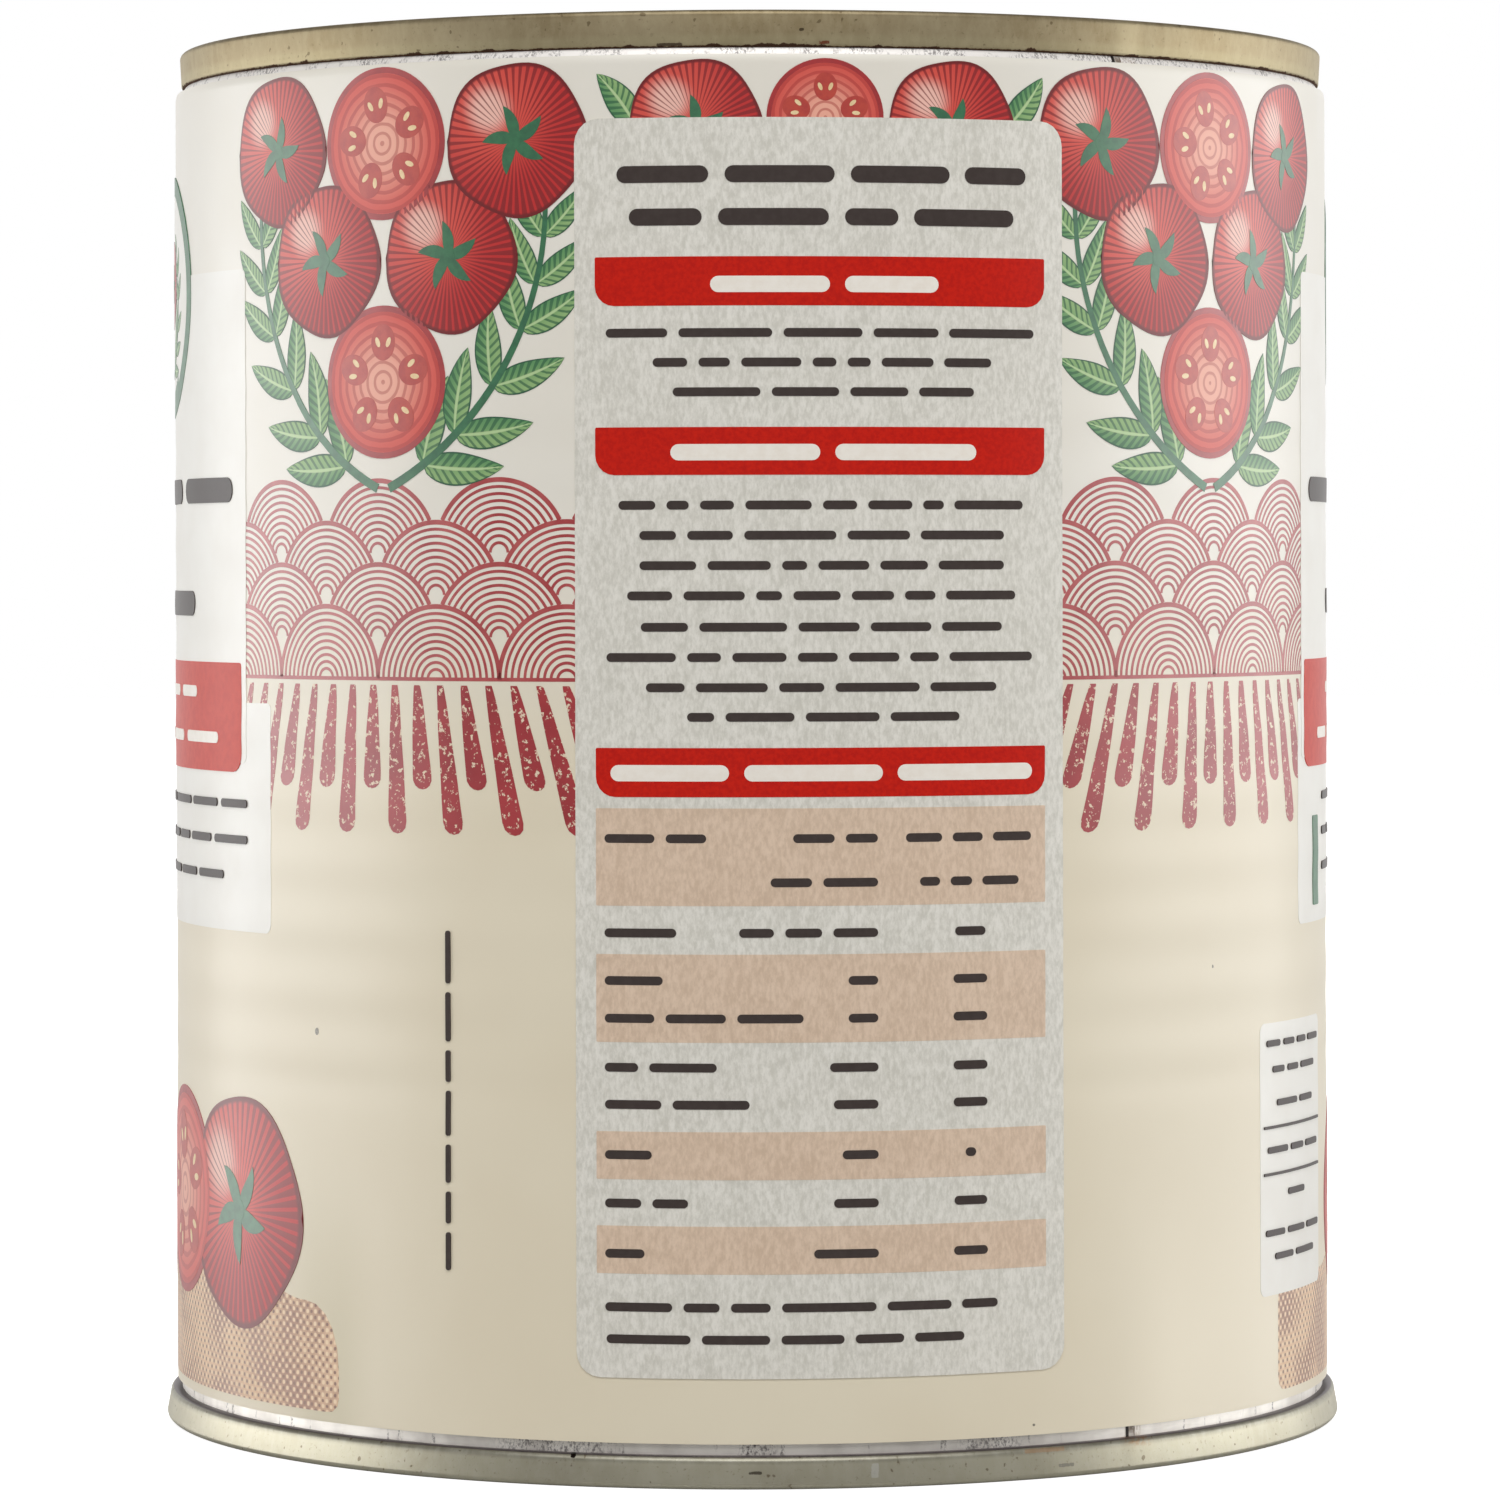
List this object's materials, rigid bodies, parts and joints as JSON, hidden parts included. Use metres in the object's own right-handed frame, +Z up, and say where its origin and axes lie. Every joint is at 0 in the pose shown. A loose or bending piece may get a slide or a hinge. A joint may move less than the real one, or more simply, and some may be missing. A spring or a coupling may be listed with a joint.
{
  "type": "tin of tomatoes",
  "caption": "Shut cylindrical food tin with seamed ends, a neck under the upper rim and a printed paper label round its wall.",
  "frame": {"origin": "centre of the bounding box's bottom: on the tin's axis, at the level the lower rim stands on", "axes": "+Z up along the tin's axis; the label's text panel faces -Y; +X is to the right as the panel is seen"},
  "size_m": [0.1016, 0.1016, 0.1175],
  "materials": {
    "tinplate": "bright tin-plated steel, lightly scuffed",
    "lacquered_end": "clear gold-grey lacquer over steel, satin, with fine scuffs",
    "label_paper": "varnished printed paper, semi-gloss"
  },
  "bodies": {
    "root": {"tin_body": "tinplate", "bottom_end": "lacquered_end", "top_end": "lacquered_end", "paper_label": "label_paper"}
  },
  "joints": []
}
